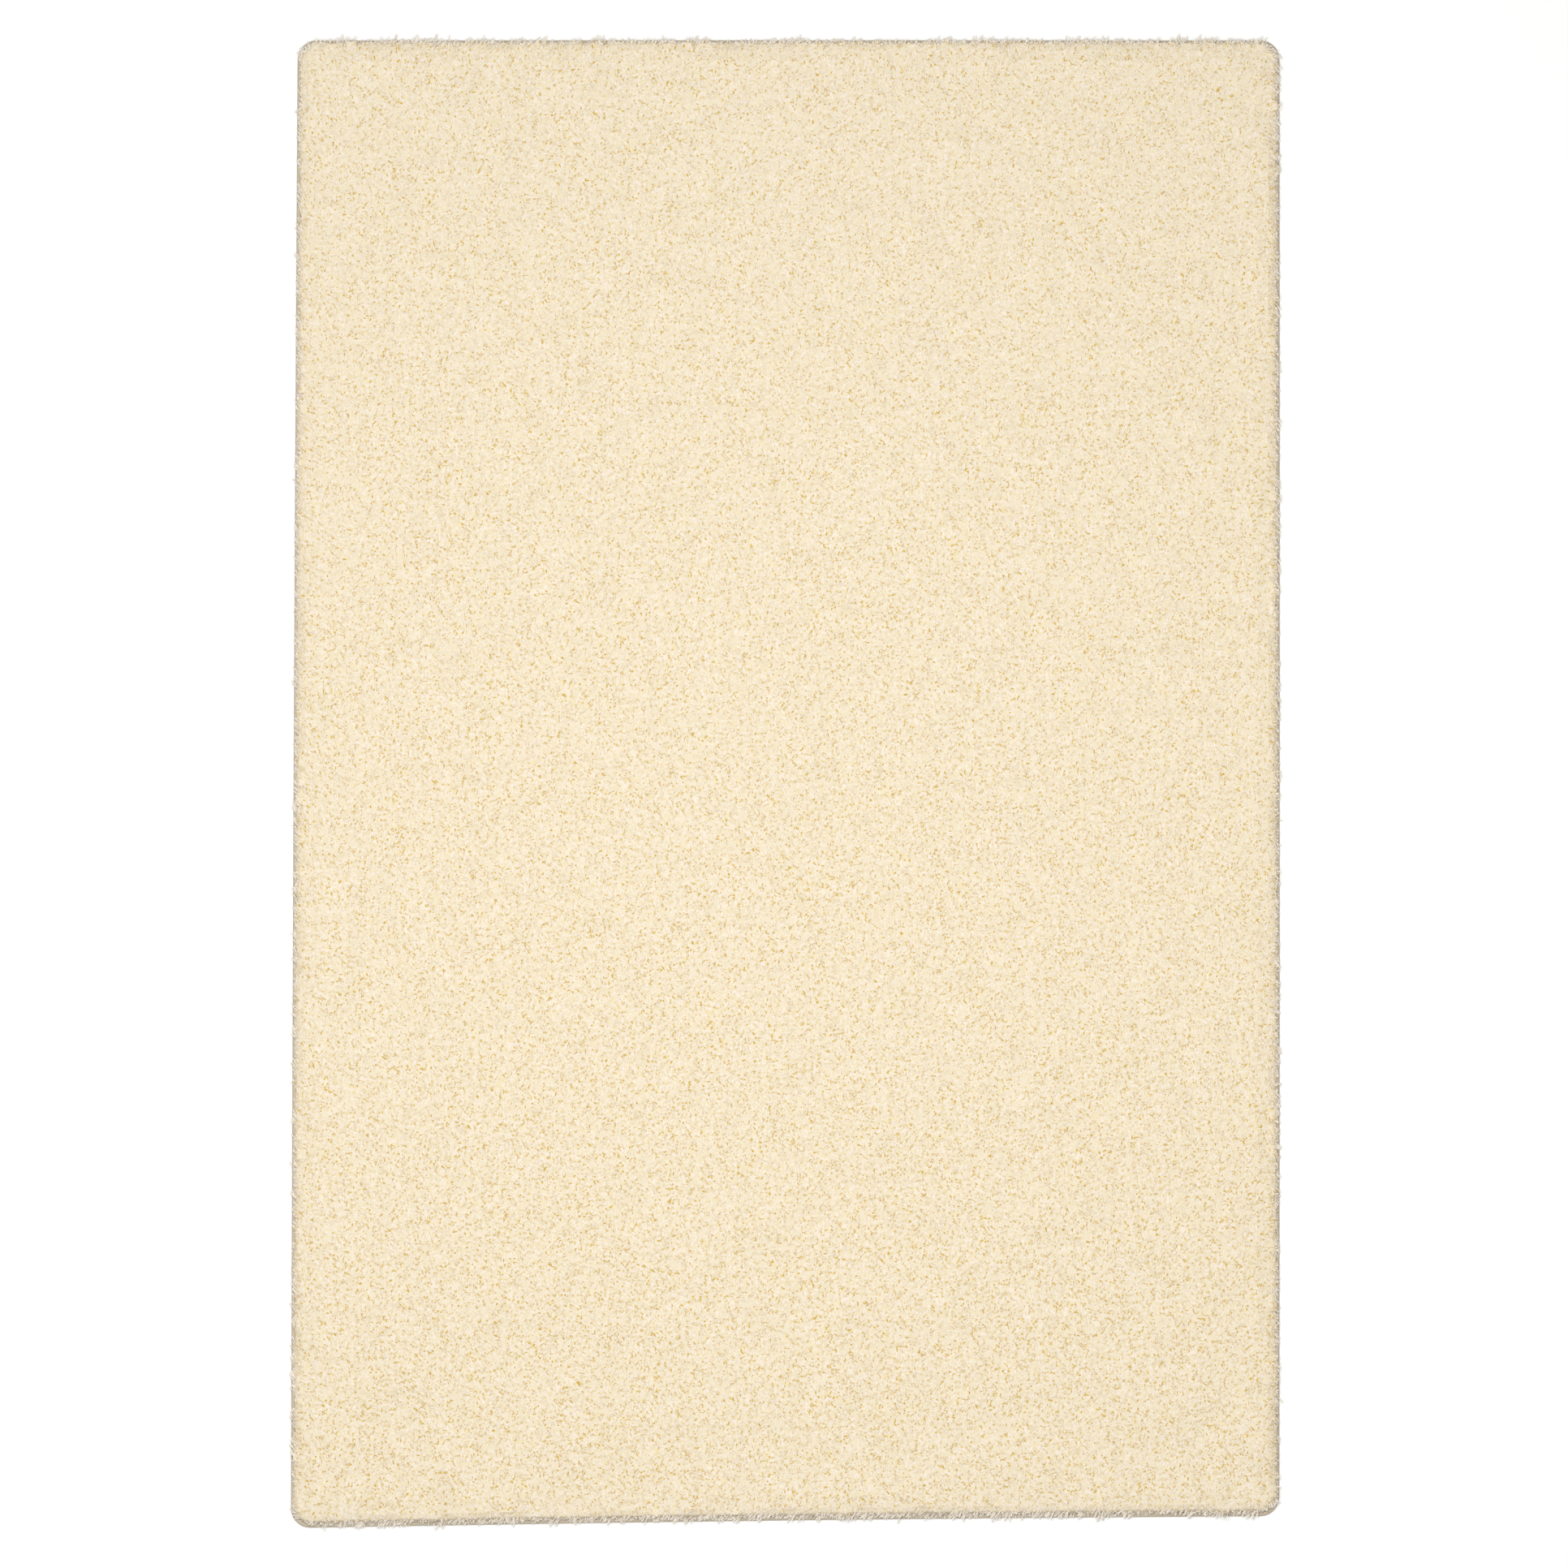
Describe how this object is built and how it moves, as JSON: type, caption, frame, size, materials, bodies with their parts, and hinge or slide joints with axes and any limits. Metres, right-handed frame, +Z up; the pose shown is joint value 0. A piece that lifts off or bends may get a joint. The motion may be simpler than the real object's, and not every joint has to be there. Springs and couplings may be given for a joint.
{
  "type": "shag rug",
  "caption": "Flat rectangular cut-pile rug of pale yarn with rounded corners, a woven backing cloth and a narrow sewn edge binding.",
  "frame": {"origin": "under the middle of the rug, on the floor", "axes": "+X to the right across the rug, +Y along its length to the far end, +Z up out of the pile"},
  "size_m": [1.3408, 2.0112, 0.0247],
  "materials": {
    "backing_cloth": "woven, matt",
    "binding_yarn": "overcast yarn, matt",
    "pile_yarn": "cut pile yarn, soft and matt"
  },
  "bodies": {
    "root": {"backing": "backing_cloth", "edge_binding": "binding_yarn", "pile": "pile_yarn"}
  },
  "joints": []
}
